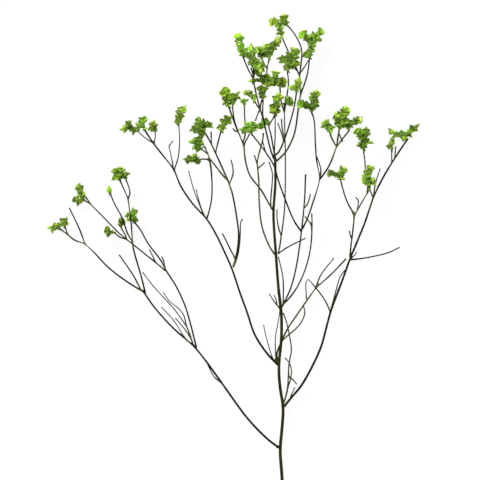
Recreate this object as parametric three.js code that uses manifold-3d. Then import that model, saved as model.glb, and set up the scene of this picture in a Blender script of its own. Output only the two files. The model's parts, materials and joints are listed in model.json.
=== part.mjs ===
// A dried, dyed statice stem, lying on a table. Millimetres, +Z up off the table.
// The stem runs along +Y from its cut end, and its boughs spread to both sides of it.
// The origin is the middle of the whole plant's footprint, on the table.
import * as THREE from 'three';
import { mergeVertices } from 'three/addons/utils/BufferGeometryUtils.js';
import Module from 'manifold-3d';

// Sizes that drive the plant
const JOIN_GAP = 0.3; // between a branch and what carries it
const STEM_STEP = 30; // distance between the rings of a stem or bough
const TWIG_STEP = 26; // the same for thin twigs
const END_ROOM = 4; // least distance from the start of a strand to its next ring
const MARKS = 40; // points that measure the length of one stretch of a strand
const SEARCH_STEP = 0.1; // how finely the place is searched where a strand leaves its carrier
const TANGENT_REACH = 0.5; // half the distance between two points that give a direction
const THIN = 1.05; // a strand thinner than this radius at its root is a twig
const STEM_SIDES = 6;
const TWIG_SIDES = 5;
const CUT_RADIUS = 2.25; // main stem at its cut end
const CROWN_RADIUS = 1.75; // main stem where the crown forks
const BOUGH = [1.7, 1.2]; // radius of a bough at its root and its tip
const BRANCH = [1.05, 0.9];
const STALK = [1, 0.8]; // carries a flower head
const TWIG = [1, 0.75]; // a long twig that lost its flowers
const BARE = [0.95, 0.7]; // a short one
const HEAD_STEP = 6.6; // distance between two whorls of calyces along a flower spike
const LOBES = 6; // corners round a whorl, every other one a calyx
const VALLEY = 0.72; // radius between two calyces, as a share of the spike's
const CALYX_LEAN = 1.6; // how far a calyx leans towards the tip of its spike
const COLLAR = 0.8; // radius of a spike where it meets its stalk
const SWELL = [0.25, 0.8]; // a spike's width follows this part of half a sine wave

// Colours and roughness
const OLIVE = 0x3d4a1a;
const DARK = 0x1f1b10;
const TAN = 0x6d6648;
const GREEN = 0x5c9a2c;
const BARK_ROUGHNESS = 0.7;
const PAPER_ROUGHNESS = 0.85;

const wasm = await Module();
wasm.setup();

const plant = new THREE.Group();

// Turns closed geometry into a solid that can be joined
function solidOf(geometry) {
  geometry.deleteAttribute('normal');
  geometry.deleteAttribute('uv');
  const merged = mergeVertices(geometry, 1e-5);
  const vertProperties = new Float32Array(merged.attributes.position.array);
  const triVerts = new Uint32Array(merged.index.array);
  return new wasm.Manifold(new wasm.Mesh({ numProp: 3, vertProperties, triVerts }));
}

// Joins solids that grow out of each other into one geometry, and fills what they seal in
function joined(geometries) {
  const whole = geometries.map(solidOf).reduce((sum, solid) => sum.add(solid));
  const shells = whole.decompose().filter((shell) => shell.volume() > 0);
  const mesh = wasm.Manifold.compose(shells).getMesh();
  const geometry = new THREE.BufferGeometry();
  geometry.setAttribute('position', new THREE.BufferAttribute(mesh.vertProperties, 3));
  geometry.setIndex(new THREE.BufferAttribute(mesh.triVerts, 1));
  geometry.computeVertexNormals();
  return geometry;
}

function addNode(name, geometries, colour, roughness) {
  const material = new THREE.MeshStandardMaterial({ color: colour, roughness, metalness: 0 });
  const mesh = new THREE.Mesh(joined(geometries), material);
  mesh.name = name;
  plant.add(mesh);
}

// Two directions across a strand: level, and as near upright as it allows
function acrossOf(tangent) {
  const level = new THREE.Vector3(0, 0, 1).cross(tangent).normalize();
  const upright = new THREE.Vector3().crossVectors(tangent, level);
  return [level, upright];
}

// Two ways to see a point: from above, and as it is
const flat = ({ x, y }) => new THREE.Vector3(x, y, 0);
const solidly = (point) => point;

// Closed skin over rings of equal length, with a point or a flat end at each end
function skin(rings, apex) {
  const sides = rings[0].length;
  const points = rings.flat();
  const faces = [];
  for (let ring = 0; ring + 1 < rings.length; ring += 1) {
    for (let side = 0; side < sides; side += 1) {
      const a = ring * sides + side;
      const b = ring * sides + ((side + 1) % sides);
      faces.push(a, b, b + sides, a, b + sides, a + sides);
    }
  }
  for (let side = 1; side + 1 < sides; side += 1) faces.push(0, side + 1, side);
  const last = (rings.length - 1) * sides;
  if (apex) points.push(apex);
  for (let side = 0; side < sides; side += 1) {
    const next = last + ((side + 1) % sides);
    if (apex) faces.push(last + side, next, points.length - 1);
    else if (side > 0 && side + 1 < sides) faces.push(last, last + side, next);
  }
  const geometry = new THREE.BufferGeometry().setFromPoints(points);
  geometry.setIndex(faces);
  return geometry;
}

// One unforked run of stem. plan holds [x, y] points seen from above, heights holds z spread
// evenly along it, and radii its radius at root and tip. A strand that grows from another one
// starts on that one's centre line.
class Strand {
  constructor(plan, heights, radii, parent) {
    this.radii = radii;
    this.parent = parent;
    const points = plan.map(([x, y]) => new THREE.Vector3(x, y, 0));
    const levels = [...heights];
    if (parent) {
      const root = parent.nearest(points[0], flat).point;
      points[0].set(root.x, root.y, 0);
      levels.unshift(root.z);
    }
    this.route = new THREE.CatmullRomCurve3(points, false, 'centripetal');
    this.rise = new THREE.SplineCurve(levels.map((z, i) => new THREE.Vector2(i, z)));
    this.length = this.route.getLength();
    this.place(0);
  }

  // Puts a ring at every given point past the start, and evenly between them
  place(start) {
    const pieces = this.route.points.length - 1;
    const marks = this.route.getLengths(pieces * MARKS).filter((_, i) => i % MARKS === 0);
    const given = marks.map((mark) => mark / this.length);
    const ends = [start, ...given.filter((u) => u > start + END_ROOM / this.length)];
    const step = this.radii[0] < THIN ? TWIG_STEP : STEM_STEP;
    this.stops = [start];
    for (let i = 1; i < ends.length; i += 1) {
      const run = (ends[i] - ends[i - 1]) * this.length;
      const count = Math.max(1, Math.round(run / step));
      for (let k = 1; k <= count; k += 1) {
        this.stops.push(THREE.MathUtils.lerp(ends[i - 1], ends[i], k / count));
      }
    }
    this.centres = this.stops.map((u) => this.at(u));
  }

  at(u) {
    const point = this.route.getPointAt(Math.min(1, u));
    point.z = this.rise.getPoint(u).y;
    return point;
  }

  tangent(u) {
    const reach = TANGENT_REACH / this.length;
    const ahead = this.at(Math.min(1, u + reach));
    return ahead.sub(this.at(Math.max(0, u - reach))).normalize();
  }

  radius(u) {
    return THREE.MathUtils.lerp(this.radii[0], this.radii[1], u);
  }

  // The place on the line through the rings that is nearest to a point, as view shows both
  nearest(spot, view) {
    let best = { gap: Infinity };
    for (let i = 0; i + 1 < this.centres.length; i += 1) {
      const [from, to] = [this.centres[i], this.centres[i + 1]];
      const share = new THREE.Line3(view(from), view(to))
        .closestPointToPointParameter(view(spot), true);
      const point = from.clone().lerp(to, share);
      const gap = view(point).distanceTo(view(spot));
      if (gap < best.gap) {
        const radius = this.radius(THREE.MathUtils.lerp(this.stops[i], this.stops[i + 1], share));
        best = { gap, point, radius, along: to.clone().sub(from).normalize() };
      }
    }
    return best;
  }

  // Moves the start of a strand out of the strand that carries it, so that both can be apart
  clear() {
    for (let along = 0; along < this.length; along += SEARCH_STEP) {
      const u = along / this.length;
      const near = this.parent.nearest(this.at(u), solidly);
      const slant = Math.abs(this.tangent(u).dot(near.along));
      if (near.gap >= near.radius + this.radius(u) * slant + JOIN_GAP) {
        this.place(u);
        return this;
      }
    }
    throw new Error('a strand never leaves the one that carries it');
  }

  geometry() {
    const sides = this.radii[0] < THIN ? TWIG_SIDES : STEM_SIDES;
    return skin(this.stops.map((u, i) => {
      const [level, upright] = acrossOf(this.tangent(u));
      return Array.from({ length: sides }, (_, side) => {
        const turn = (2 * Math.PI * side) / sides;
        return this.centres[i].clone()
          .addScaledVector(level, this.radius(u) * Math.cos(turn))
          .addScaledVector(upright, this.radius(u) * Math.sin(turn));
      });
    }));
  }
}

// Where the next piece starts past the tip of a strand
const tipOf = (strand) => strand.at(1).addScaledVector(strand.tangent(1), JOIN_GAP);

// A strand that forks off another strand of the same node
const fork = (parent, plan, heights, radii) => new Strand(plan, heights, radii, parent);

// A strand that starts a node of its own, just clear of the one that carries it
const grown = (parent, plan, heights, radii) => fork(parent, plan, heights, radii).clear();

// A strand that starts a node of its own at the tip of the one that carries it
function onward(parent, plan, heights, radii) {
  const { x, y, z } = tipOf(parent);
  return new Strand([[x, y], ...plan], [z, ...heights], radii);
}

function addBranch(name, colour, ...strands) {
  addNode(name, strands.map((strand) => strand.geometry()), colour, BARK_ROUGHNESS);
}

// One spike of calyces. start is the stalk that carries it or a point inside another spike,
// and points lead from there to its tip. Its bottom is flat where it lies on the table.
function spike(width, start, ...points) {
  const onStalk = start instanceof Strand;
  const root = onStalk ? tipOf(start) : new THREE.Vector3(...start);
  const line = new THREE.CatmullRomCurve3(
    [root, ...points.map((point) => new THREE.Vector3(...point))], false, 'centripetal');
  const whorls = Math.max(2, Math.round(line.getLength() / HEAD_STEP));
  const rings = [];
  for (let whorl = 0; whorl < whorls; whorl += 1) {
    const u = whorl / whorls;
    const centre = line.getPointAt(u);
    const tangent = onStalk && whorl === 0 ? start.tangent(1) : line.getTangentAt(u);
    const [level, upright] = acrossOf(tangent);
    const swell = Math.sin(Math.PI * THREE.MathUtils.lerp(...SWELL, u)) * width;
    rings.push(Array.from({ length: LOBES }, (_, lobe) => {
      const calyx = (lobe + whorl) % 2 === 0;
      const first = onStalk && whorl === 0;
      const radius = first ? COLLAR : swell * (calyx ? 1 : VALLEY);
      const turn = (2 * Math.PI * lobe) / LOBES;
      return centre.clone()
        .addScaledVector(level, radius * Math.cos(turn))
        .addScaledVector(upright, radius * Math.sin(turn))
        .addScaledVector(tangent, calyx && !first ? CALYX_LEAN : 0);
    }));
  }
  const apex = line.getPointAt(1);
  [...rings.flat(), apex].forEach((point) => point.setZ(Math.max(0, point.z)));
  return skin(rings, apex);
}

const addHead = (name, ...spikes) => addNode(name, spikes, GREEN, PAPER_ROUGHNESS);

// Main stem, from its cut end to where the crown forks
const stem = new Strand(
  [[3, -25], [1, 12], [-1.3, 45], [1.8, 82], [3, 110], [-1.5, 140], [-3.3, 170], [0.4, 212],
    [0.5, 250], [-4, 290], [-8, 343], [-11.5, 402], [-8.6, 445], [-9, 482]],
  [CUT_RADIUS * Math.sin(Math.PI / 3), 9, 17, 26, 34, 42, 50], [CUT_RADIUS, CROWN_RADIUS]);
const snag = fork(stem, [[-3, 256], [-8, 266], [-13, 272.5], [-17.5, 280]], [36], BARE);
const barb = fork(snag, [[-6, 264], [-7, 271], [-10.5, 278]], [39], BARE);
addBranch('main_stem', OLIVE, stem, snag, barb);

// Low left bough and its branches
function addLowLeft() {
  const bough = grown(stem, [[-3, 48], [-20, 62], [-50, 93], [-80, 134], [-110, 176],
    [-130, 201], [-160, 227], [-190, 260], [-206, 283]], [15, 17, 14], BOUGH);
  const ribbon = fork(bough, [[-88, 146], [-100, 155], [-109, 172], [-112, 179]], [16], BARE);
  const short = fork(bough, [[-143, 214], [-160, 239], [-179, 260]], [12], BARE);
  const bare = fork(bough, [[-131, 202], [-141, 230], [-160, 257], [-190, 290], [-207, 312]],
    [20, 24, 26], TWIG);
  const twin = fork(bare, [[-133, 215], [-145, 228], [-158, 243]], [17], BARE);
  const loop = fork(bare, [[-141, 232], [-145, 246], [-152, 257], [-167, 269], [-176, 282]],
    [31, 32], BARE);
  addBranch('low_left_bough', DARK, bough, ribbon, short, bare, twin, loop);

  const outer = onward(bough, [[-230, 297.5], [-260, 320.5], [-294, 355],
    [-310, 360.5], [-320, 369], [-331, 377]], [13, 9, 6], BRANCH);
  const second = fork(outer, [[-320, 369], [-324, 381]], [7], STALK);
  const tall = fork(outer, [[-294, 355], [-300, 372], [-317, 408.5]], [16], TWIG);
  const inner = fork(outer, [[-209.5, 286], [-220, 305.5], [-242, 338]], [23], TWIG);
  addBranch('low_left_outer_branch', DARK, outer, second, tall, inner);
  addHead('low_left_head_1',
    spike(4, outer, [-341, 379, 4], [-352, 380, 3.5]),
    spike(4.5, second, [-323, 390, 8], [-321.5, 397, 10]),
    spike(4.4, [-324, 385, 6.5], [-334, 383, 4], [-345, 383, 4]),
    spike(3.8, [-341, 379, 4], [-343, 376, 3.5], [-342, 370, 2.5]));

  const upright = grown(bough, [[-203, 278], [-210, 308], [-222, 351], [-224.5, 386],
    [-229, 422], [-238, 443], [-241, 450]], [19, 27, 35, 38], BRANCH);
  const upper = fork(upright, [[-229, 421], [-226, 431], [-229, 443], [-232, 451]], [38], STALK);
  const side = fork(upright, [[-223, 357], [-231, 373], [-235.5, 387], [-240, 398],
    [-250, 416], [-256, 431]], [31, 34], STALK);
  addBranch('low_left_upright_branch', DARK, upright, upper, side);
  addHead('low_left_head_2',
    spike(4.6, upright, [-248, 457, 39], [-255, 458, 38]),
    spike(5.6, [-241, 453, 38], [-241, 461, 42], [-243, 472, 44]),
    spike(4, upper, [-234, 459, 41], [-233, 465, 43]),
    spike(4.5, [-233, 454, 39], [-240, 455, 40], [-247, 456, 40]),
    spike(3.2, [-246, 461, 40], [-249, 470, 43]),
    spike(2.8, [-247, 462, 39], [-254, 467, 36]),
    spike(3, [-240, 461, 42], [-235, 469, 46]),
    spike(2.4, [-234, 460, 41], [-226, 460, 42]));
  addHead('low_left_bud', spike(4.2, side, [-257.5, 437, 35], [-258, 444.5, 36]));

  const crossing = grown(bough, [[-125, 197], [-131, 217], [-144, 263], [-158, 293],
    [-171, 313], [-180, 330], [-200, 356.5], [-210, 375], [-219, 387]], [20, 22, 24],
    BRANCH);
  const stub = fork(crossing, [[-174, 319], [-175, 327], [-178.5, 335.5]], [26], BARE);
  addBranch('low_left_inner_branch', DARK, crossing, stub);
  addHead('low_left_head_3',
    spike(5.2, crossing, [-222, 397, 25], [-222, 409, 27]),
    spike(3.4, [-221, 393, 25], [-216, 396, 26]),
    spike(4.8, [-222, 391, 24], [-228, 392, 22], [-230, 399, 22], [-229, 405, 22]));

  const middle = grown(crossing, [[-171, 313], [-188, 327], [-218, 351], [-240, 368.5],
    [-270, 399], [-285, 414], [-292, 424]], [20, 16, 14], STALK);
  const low = fork(middle, [[-285, 414], [-293, 419]], [13], STALK);
  const stalk = fork(middle, [[-232, 362], [-240, 364], [-249, 371]], [19], STALK);
  const spur = fork(middle, [[-231, 361], [-234, 370], [-238.5, 377]], [23], STALK);
  const tail = fork(middle, [[-187, 327], [-192, 336], [-197, 346]], [25], BARE);
  addBranch('low_left_middle_branch', DARK, middle, low, stalk, spur, tail);
  addHead('low_left_head_4', spike(4.4, stalk, [-256, 374, 20], [-265, 372.5, 21]));
  addHead('low_left_head_5',
    spike(4.6, spur, [-241.5, 386, 25], [-238, 396, 26]),
    spike(2.8, [-240.5, 384, 25], [-246, 384, 24]));
  addHead('low_left_head_6',
    spike(5, middle, [-298, 430, 13], [-303, 438, 12], [-302, 447, 12]),
    spike(4.2, low, [-302, 420.5, 11], [-313, 418, 9]),
    spike(3.8, [-298, 420.5, 11.5], [-296.5, 428, 13], [-294, 434, 15]),
    spike(3.2, [-300, 435, 12], [-308, 433, 10]),
    spike(3.6, [-298, 429, 12.5], [-307, 426, 11]));
}

// Middle left bough and its branches
function addMiddleLeft() {
  const bough = grown(stem, [[-3.5, 172], [-20.5, 190], [-40, 220], [-50, 250], [-61, 280],
    [-73, 316], [-100, 374], [-112, 393], [-130, 412], [-150, 441], [-161, 467], [-180, 491],
    [-190, 504], [-204, 525]], [30, 43, 55, 66, 76, 80], BOUGH);
  const left = fork(bough, [[-191, 505], [-203, 513], [-214, 523]], [78], STALK);
  const right = fork(bough, [[-190, 504], [-188, 513], [-188, 523]], [82], STALK);
  const tall = fork(bough, [[-160, 465], [-154, 482], [-151.5, 510], [-152.5, 529]], [84, 88],
    STALK);
  const hook = fork(bough, [[-161, 467], [-163, 480], [-168, 501], [-162, 508]], [72], TWIG);
  const pair = fork(bough, [[-115, 397], [-123, 416], [-131, 437], [-138, 463]], [70], TWIG);
  const short = fork(bough, [[-113, 395], [-120, 410], [-127, 436]], [76], BARE);
  const low = fork(bough, [[-11, 181], [-18, 200], [-24, 222], [-26, 233]], [37], BARE);
  const beside = fork(bough, [[-7, 177], [-8.5, 195], [-8.5, 215], [-4, 240], [-2, 254]],
    [28, 33, 35], BARE);
  addBranch('mid_left_bough', DARK, bough, left, right, tall, hook, pair, short, low, beside);
  addHead('mid_left_head_1',
    spike(4.4, left, [-223, 528, 78], [-233, 527, 77], [-241, 526, 77]),
    spike(4, [-219, 527, 78], [-222, 518, 76]),
    spike(3.8, [-223, 529, 78], [-231, 536, 81], [-222, 537, 84]),
    spike(4.6, bough, [-208, 535, 80], [-207, 541, 81], [-201, 547, 81]),
    spike(3.4, [-208, 534, 80], [-217, 539, 82]),
    spike(3, [-206, 531, 80], [-202, 527.5, 83]),
    spike(3.4, [-207, 530, 80], [-213, 528, 79], [-220, 527, 78]));
  addHead('mid_left_head_2',
    spike(6, right, [-191, 531, 83], [-189, 541, 84]),
    spike(3.2, [-188.5, 527.5, 82.5], [-183, 525, 84]),
    spike(3.4, [-191, 530, 83], [-196, 525, 81]));
  addHead('mid_left_head_3',
    spike(6, tall, [-155, 536, 88], [-153, 545, 87], [-148, 553, 86], [-142, 561, 86]),
    spike(3.2, [-155, 536, 88], [-161, 537, 88]),
    spike(3, [-153, 541, 88], [-146, 540, 90]));

  const inner = grown(bough, [[-111, 392], [-108, 403], [-104, 422], [-103.5, 450],
    [-106.5, 481], [-113.5, 499]], [60, 64, 62, 60], STALK);
  const west = fork(inner, [[-106.5, 481], [-116, 481.5], [-125, 481]], [64], STALK);
  const south = fork(inner, [[-110, 489], [-119, 496.5]], [62], STALK);
  addBranch('mid_left_inner_branch', OLIVE, inner, west, south);
  addHead('mid_left_head_4',
    spike(4, west, [-136, 481, 65], [-147, 482.5, 66]),
    spike(3.4, [-129, 482, 65], [-132, 488.5, 67]),
    spike(3.6, [-129, 481, 65], [-125, 475.5, 61]));

  const upright = grown(bough, [[-73, 316], [-66, 342], [-63.5, 368], [-67, 398],
    [-73, 430], [-79, 448], [-91, 475], [-99, 493], [-105, 506], [-115, 523]],
    [48, 50, 50, 52, 56], BRANCH);
  const twin = fork(upright, [[-72, 319], [-66, 334], [-62, 356], [-61, 378], [-60.5, 388],
    [-58, 391]], [50, 53], BARE);
  const bare = fork(upright, [[-71, 333], [-78, 351], [-87.5, 370]], [56], BARE);
  const fine = fork(upright, [[-79, 449], [-90, 461], [-106, 481.5]], [48, 46], TWIG);
  const curl = fork(upright, [[-77, 444], [-72, 459], [-72.5, 471], [-75, 480]], [60], BARE);
  const stalk = fork(upright, [[-98, 491], [-94, 508], [-90, 523]], [48], STALK);
  const second = fork(upright, [[-104, 504], [-104.5, 522]], [60], STALK);
  addBranch('mid_left_upright_branch', DARK, upright, twin, bare, fine, curl, stalk, second);
  addHead('mid_left_head_5',
    spike(6, upright, [-120, 531, 58], [-123, 545, 60]),
    spike(5.6, [-118, 527, 58], [-128, 527, 60], [-138, 524, 62]),
    spike(4.2, [-118, 528, 58], [-110, 535, 58], [-102, 535, 58]),
    spike(5.6, [-118, 528, 58], [-119, 518, 61], [-123, 508, 63], [-127, 498, 63]),
    spike(4.8, [-119, 510, 62], [-128, 508, 64], [-140, 507, 66]),
    spike(4, inner, [-119, 505, 62], [-122, 509, 62]),
    spike(4, south, [-125, 500, 63], [-124, 490, 63]),
    spike(3, [-127, 503, 64], [-132, 496, 65]),
    spike(2.6, [-110, 534, 58], [-105.5, 530, 58], [-101, 528, 59]));
  addHead('mid_left_head_6',
    spike(5.8, stalk, [-87, 532, 47], [-82, 540, 46], [-75, 546.5, 45]),
    spike(3.4, [-88, 529, 47], [-95, 531, 49]),
    spike(3.6, [-85, 534, 47], [-77, 536, 49]));
}

// Long thin branch that passes under the main stem
function addCrossingBranch() {
  const thin = grown(stem, [[-4, 174], [-6.8, 188], [-0.5, 206], [10, 228], [21.5, 245],
    [38, 269], [51.5, 288], [76, 310], [97, 332]], [15, 13, 12, 12, 12], BRANCH);
  const curl = fork(thin, [[1.5, 209], [10, 217.5], [25.5, 231], [33, 242.5], [36, 254],
    [33.5, 262]], [16, 18, 20], TWIG);
  const spare = fork(thin, [[51.5, 287], [60, 309], [79, 333]], [16], BARE);
  addBranch('crossing_branch', TAN, thin, curl, spare);
}

// Right bough and its branches
function addRight() {
  const bough = grown(stem, [[3.5, 109], [15, 124], [30, 142], [45, 168], [60, 201],
    [73.5, 251], [92, 301], [102.5, 331], [126, 388], [138, 424], [159, 465], [189, 511]],
    [20, 26, 31, 33, 30, 22, 7], BOUGH);
  const twin = fork(bough, [[74, 252], [77.5, 267], [84, 292], [88, 305], [95, 315]], [34],
    TWIG);
  const low = fork(bough, [[13, 121], [16, 130], [20.5, 139.5]], [30], BARE);
  const left = fork(bough, [[164, 477], [166, 495]], [8], STALK);
  const bare = fork(bough, [[169, 484], [172, 501]], [16], BARE);
  const stub = fork(bough, [[104, 333], [110, 337], [113, 342]], [30], BARE);
  const back = fork(bough, [[138, 425], [141, 444], [148.4, 467.4]], [22], TWIG);
  const forward = fork(bough, [[137, 424], [134.5, 431], [132.8, 437]], [38], STALK);
  const hooked = fork(bough, [[74, 253], [66, 270], [47, 295], [40, 302.5], [36.5, 297],
    [38, 273]], [38, 41, 38], TWIG);
  addBranch('right_bough', DARK, bough, twin, low, left, bare, stub, back, forward, hooked);
  addHead('right_head_1',
    spike(5.6, bough, [186, 518, 5], [176, 519, 5], [167, 522, 5]),
    spike(4.6, [188, 517, 5], [196, 526, 6], [208, 534, 8]),
    spike(5.4, left, [163.5, 501, 6], [166, 509, 6], [170, 520, 6]),
    spike(3.6, [166, 505, 6], [161, 497, 5]),
    spike(3.2, [169, 520, 5], [161, 528, 6]),
    spike(3.4, [180, 519, 5], [182, 528, 6]),
    spike(3, [181, 518, 5], [181, 508.5, 5]),
    spike(3.2, [190, 521, 5], [196, 514, 4]));

  const base = grown(stem, [[4, 112], [9.5, 136], [12, 176], [15.5, 196], [12, 220],
    [8, 238], [3.5, 251]], [20, 26, 30, 32], TWIG);
  const drop = fork(base, [[11, 156], [16, 153], [23, 145]], [24], BARE);
  const beside = fork(base, [[10, 138], [14, 152], [15.6, 165], [12.5, 176], [6, 184]],
    [27, 29, 31], BARE);
  addBranch('right_base_twig', TAN, base, drop, beside);

  const far = grown(bough, [[103, 331], [120, 333], [160, 341.5], [177, 349.5]], [28, 22],
    TWIG);
  addBranch('right_bare_twig', DARK, far);

  const olive = grown(bough, [[102, 332], [104.5, 352], [107, 372], [110.5, 399],
    [119, 414], [132, 436]], [40, 44, 42, 42], STALK);
  const west = fork(olive, [[110, 398], [100, 415], [93, 434], [88.5, 452]], [50, 52], STALK);
  const middle = fork(olive, [[113, 405], [116, 419.5], [112, 424]], [50], BARE);
  const nub = fork(olive, [[105.5, 362], [103, 369], [102, 374]], [48], BARE);
  const last = fork(olive, [[127, 430], [130, 449], [126, 467], [125.6, 477], [123.6, 492]],
    [36, 38, 48], STALK);
  addBranch('right_inner_branch', OLIVE, olive, west, middle, nub, last);
  addHead('right_head_2',
    spike(5, olive, [130, 449, 43], [127, 459, 44], [130, 466, 44], [139, 470, 44]),
    spike(4.2, [130, 449, 43], [118, 453, 44]),
    spike(3.2, [129, 450, 43], [122, 444, 46]),
    spike(4, [131, 445, 43], [138, 450, 41], [146, 447, 40]));
  addHead('right_head_3',
    spike(5, last, [124, 504, 51], [126, 516, 52], [128, 531, 53]),
    spike(4.4, [123, 506, 51], [118, 518, 53], [110, 530, 55]),
    spike(4.6, [125, 508, 51], [138, 506, 50]),
    spike(3.6, [123, 507, 51], [116, 499, 51]));
  addHead('right_head_4',
    spike(4.2, west, [86, 456.5, 53], [78, 461, 54], [69, 464, 54]),
    spike(3.8, [86, 458, 53], [92, 459, 53], [94, 465, 54], [97, 471, 55]),
    spike(2.6, [91, 459, 53], [92, 452, 53]));
}

// Pair of boughs that leave the main stem to the right, halfway up
function addCentreRight() {
  const bough = grown(stem, [[0, 258], [6, 269], [15, 290], [23, 322], [27, 347],
    [30.5, 374], [35, 421], [36.5, 458]], [34, 42, 46, 52, 60], BRANCH);
  const thin = fork(bough, [[3.5, 264], [3, 303], [-4, 335]], [40, 44], BARE);
  const spur = fork(bough, [[34.5, 408], [39.5, 414.6], [43.7, 429]], [58], BARE);
  const twin = fork(bough, [[4, 265], [10, 271], [24, 290], [38, 322], [45, 355],
    [46.5, 385], [46, 400]], [28, 28, 28], TWIG);
  const hook = fork(twin, [[46.5, 384], [40, 390], [36, 396]], [26], BARE);
  addBranch('centre_right_bough', OLIVE, bough, thin, spur, twin, hook);

  const over = grown(bough, [[30, 373], [20, 388], [6.5, 420], [-5, 452], [-10, 470],
    [-20, 487], [-30, 501], [-44, 519]], [52, 57, 60, 58, 54], BRANCH);
  const twig = fork(over, [[-23, 491], [-26, 501], [-28, 509]], [62], BARE);
  addBranch('crown_crossing_branch', DARK, over, twig);
  addHead('crown_head_12',
    spike(7.4, over, [-46, 529, 52], [-45.5, 539, 51]),
    spike(5.4, [-45, 526, 52], [-54, 526, 51], [-63.5, 526, 50]),
    spike(4.6, [-44, 531, 52], [-33, 531, 53], [-25, 535, 54], [-18.5, 542, 54]),
    spike(3.4, [-49, 534, 51], [-57, 536, 50]),
    spike(3, [-34, 531, 53], [-32, 524, 54]));

  const right = grown(bough, [[31, 375], [39, 392], [49, 421], [58, 452], [53, 480],
    [51, 513], [49, 543], [46, 551]], [42, 40, 38, 36], BRANCH);
  const loop = fork(right, [[58, 452], [59.7, 465], [53.6, 485]], [44], BARE);
  addBranch('right_crown_branch', DARK, right, loop);
  addHead('right_crown_head_1',
    spike(6, right, [48, 562, 36], [50, 574, 37], [54, 586, 38]),
    spike(5, [46, 557, 37], [35, 565, 40], [22, 567, 43]),
    spike(2.8, [50, 567, 36], [58.5, 561, 36]),
    spike(2.8, [48, 568, 36], [42, 576, 38]),
    spike(2.4, [50, 570, 36], [57.5, 571, 34]));

  const outer = grown(right, [[58, 451], [72, 472], [83, 500], [76, 513], [72, 524]],
    [34, 30, 27], BRANCH);
  const middle = fork(outer, [[83.5, 499], [84.5, 509], [87, 525]], [27], STALK);
  const east = fork(outer, [[83.5, 500], [92, 512], [101.5, 524]], [26], STALK);
  const faint = fork(middle, [[86.5, 521], [89, 515], [92, 508]], [22], BARE);
  addBranch('right_crown_outer_branch', DARK, outer, middle, east, faint);
  addHead('right_crown_head_2',
    spike(4.2, outer, [69.5, 531, 27], [60.5, 538.5, 28]),
    spike(4.8, [71, 529, 27], [80.5, 529, 27]));
  addHead('right_crown_head_3',
    spike(7, middle, [91, 537, 27], [94, 549, 28], [98, 562, 30]),
    spike(4.4, [89, 536, 27], [84, 543, 29], [79.5, 554, 31]),
    spike(4.2, [90, 536, 27], [82, 531, 28]),
    spike(6, east, [98, 531, 26], [92, 537, 27]),
    spike(5.2, [99, 532, 26], [108, 536.5, 26], [122.5, 545, 26]));
}

// Boughs that leave the main stem to the left, above the middle
function addCentreLeft() {
  const bough = grown(stem, [[-11.5, 404], [-17, 413], [-31, 437], [-46, 456], [-53, 477],
    [-56.5, 504], [-67, 529], [-78, 559]], [38, 34, 32, 30], BRANCH);
  const twin = fork(bough, [[-65, 522], [-70, 540], [-72.5, 559]], [35], STALK);
  const bare = fork(bough, [[-66, 525], [-68, 522], [-72, 527]], [38], BARE);
  const right = fork(bough, [[-56.5, 503], [-51, 512], [-47.5, 519]], [47], STALK);
  const tall = fork(bough, [[-54.5, 507], [-53.5, 519], [-54.5, 545], [-55, 561]], [34, 36],
    STALK);
  const side = fork(bough, [[-15, 411], [-15.5, 421], [-13.5, 445], [-13, 460], [-18, 477]],
    [44, 45, 46], BARE);
  addBranch('centre_left_bough', OLIVE, bough, twin, bare, right, tall, side);
  addHead('centre_left_head_1',
    spike(6.2, bough, [-80, 569, 30], [-83, 579, 31], [-88, 591, 31]),
    spike(5.4, twin, [-72, 568, 34], [-68, 577, 34], [-61.5, 584, 34]),
    spike(5, [-79, 570, 31], [-72, 570, 33], [-65, 571, 34]),
    spike(4.4, [-81, 571, 30], [-88, 561, 28]),
    spike(3.4, [-81, 576, 30], [-90, 574, 29]),
    spike(4.4, [-80, 574, 31], [-72, 580, 33]));
  addHead('centre_left_head_2',
    spike(4.2, tall, [-56, 569, 36], [-49, 571, 37]),
    spike(3.2, [-56, 567, 36], [-63, 572, 36]));

  const upright = grown(stem, [[-7.6, 336], [-18, 352], [-29, 382], [-33, 420],
    [-33.5, 450], [-36, 476], [-32, 494], [-27, 513], [-26.5, 520]], [42, 47, 48, 47],
    BRANCH);
  const east = fork(upright, [[-35.5, 467], [-25, 476]], [53], BARE);
  const west = fork(upright, [[-36, 474], [-40, 487]], [52], BARE);
  addBranch('centre_left_upright_branch', TAN, upright, east, west);
}

// Long pale branch that climbs to the crown just right of the main stem
function addClimbing() {
  const climb = grown(stem, [[-6.5, 333], [-3, 346], [0, 365], [5, 405], [6.3, 450],
    [6.2, 497], [5.4, 530], [4.5, 563]], [39, 42, 43, 45, 50], STALK);
  const bare = fork(climb, [[-5, 338], [10, 350], [36, 363]], [34], BARE);
  const short = fork(climb, [[0, 367], [-4, 380], [-6.3, 396], [-6, 406]], [44], BARE);
  const left = fork(climb, [[5, 551], [0, 568], [-2, 592]], [54], STALK);
  const right = fork(climb, [[5, 551], [9, 578], [11, 597], [9.5, 612]], [45, 44], STALK);
  addBranch('climbing_branch', TAN, climb, bare, short, left, right);
  return { climb, left, right };
}

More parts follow.
